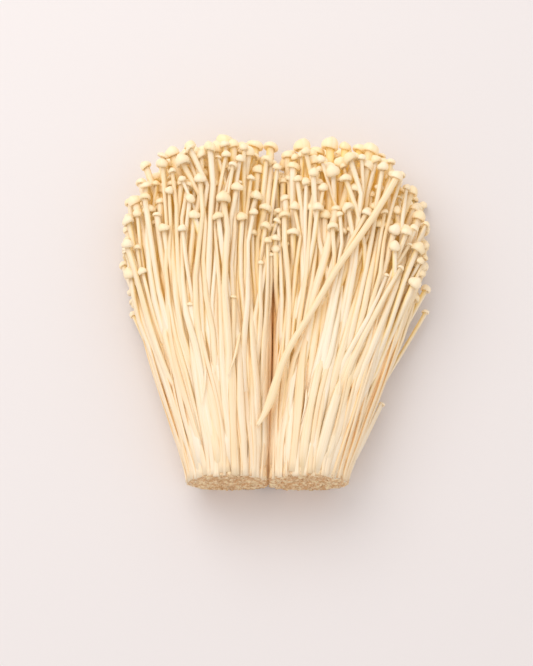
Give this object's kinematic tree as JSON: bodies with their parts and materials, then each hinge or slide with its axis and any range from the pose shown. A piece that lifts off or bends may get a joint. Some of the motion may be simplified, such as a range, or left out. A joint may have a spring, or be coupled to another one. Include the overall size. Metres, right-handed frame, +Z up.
{
  "type": "enoki mushroom bunch",
  "caption": "Bunch of long thin enoki mushrooms with small round caps, trimmed at the root and split in two, lying on its side.",
  "frame": {"origin": "on the surface that the bunch lies on, under the middle of the bunch's box", "axes": "+Z up, +Y along the stems from the cut roots towards the caps, +X across the bunch from the left half to the right half"},
  "size_m": [0.1316, 0.1488, 0.0352],
  "materials": {
    "mushroom_flesh": "smooth, moist, slightly translucent cream",
    "cut_root": "matt, crumbly tan cut face"
  },
  "bodies": {
    "root": {"left_mushrooms": "mushroom_flesh", "right_mushrooms": "mushroom_flesh", "left_root_pad": "cut_root", "right_root_pad": "cut_root", "loose_mushroom": "mushroom_flesh"}
  },
  "joints": []
}
